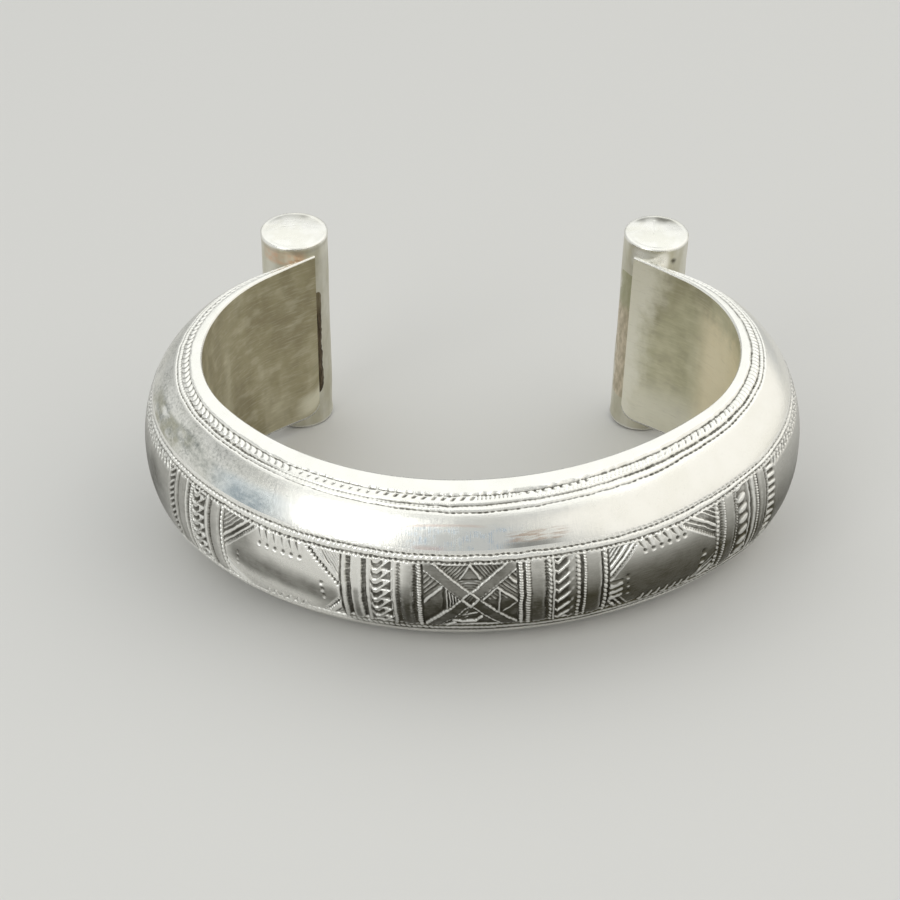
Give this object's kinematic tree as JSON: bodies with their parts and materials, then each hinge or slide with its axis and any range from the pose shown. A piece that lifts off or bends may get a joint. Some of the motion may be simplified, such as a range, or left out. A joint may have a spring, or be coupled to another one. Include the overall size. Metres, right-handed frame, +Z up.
{
  "type": "silver cuff bangle",
  "caption": "Open C-shaped cuff with a flat inner wall, a domed face that thins into plates, engraved borders and middle band, and a cylinder along each end.",
  "frame": {"origin": "centre of the bounding box on the surface that the cuff lies on", "axes": "+X to the wearer's side, from one side of the cuff to the other; +Y from the thick front to the opening; +Z up, close to the axis of the wrist"},
  "size_m": [0.0744, 0.0543, 0.0276],
  "materials": {
    "silver": "worn polished silver, dark in the engraving"
  },
  "bodies": {
    "root": {"cuff": "silver"}
  },
  "joints": []
}
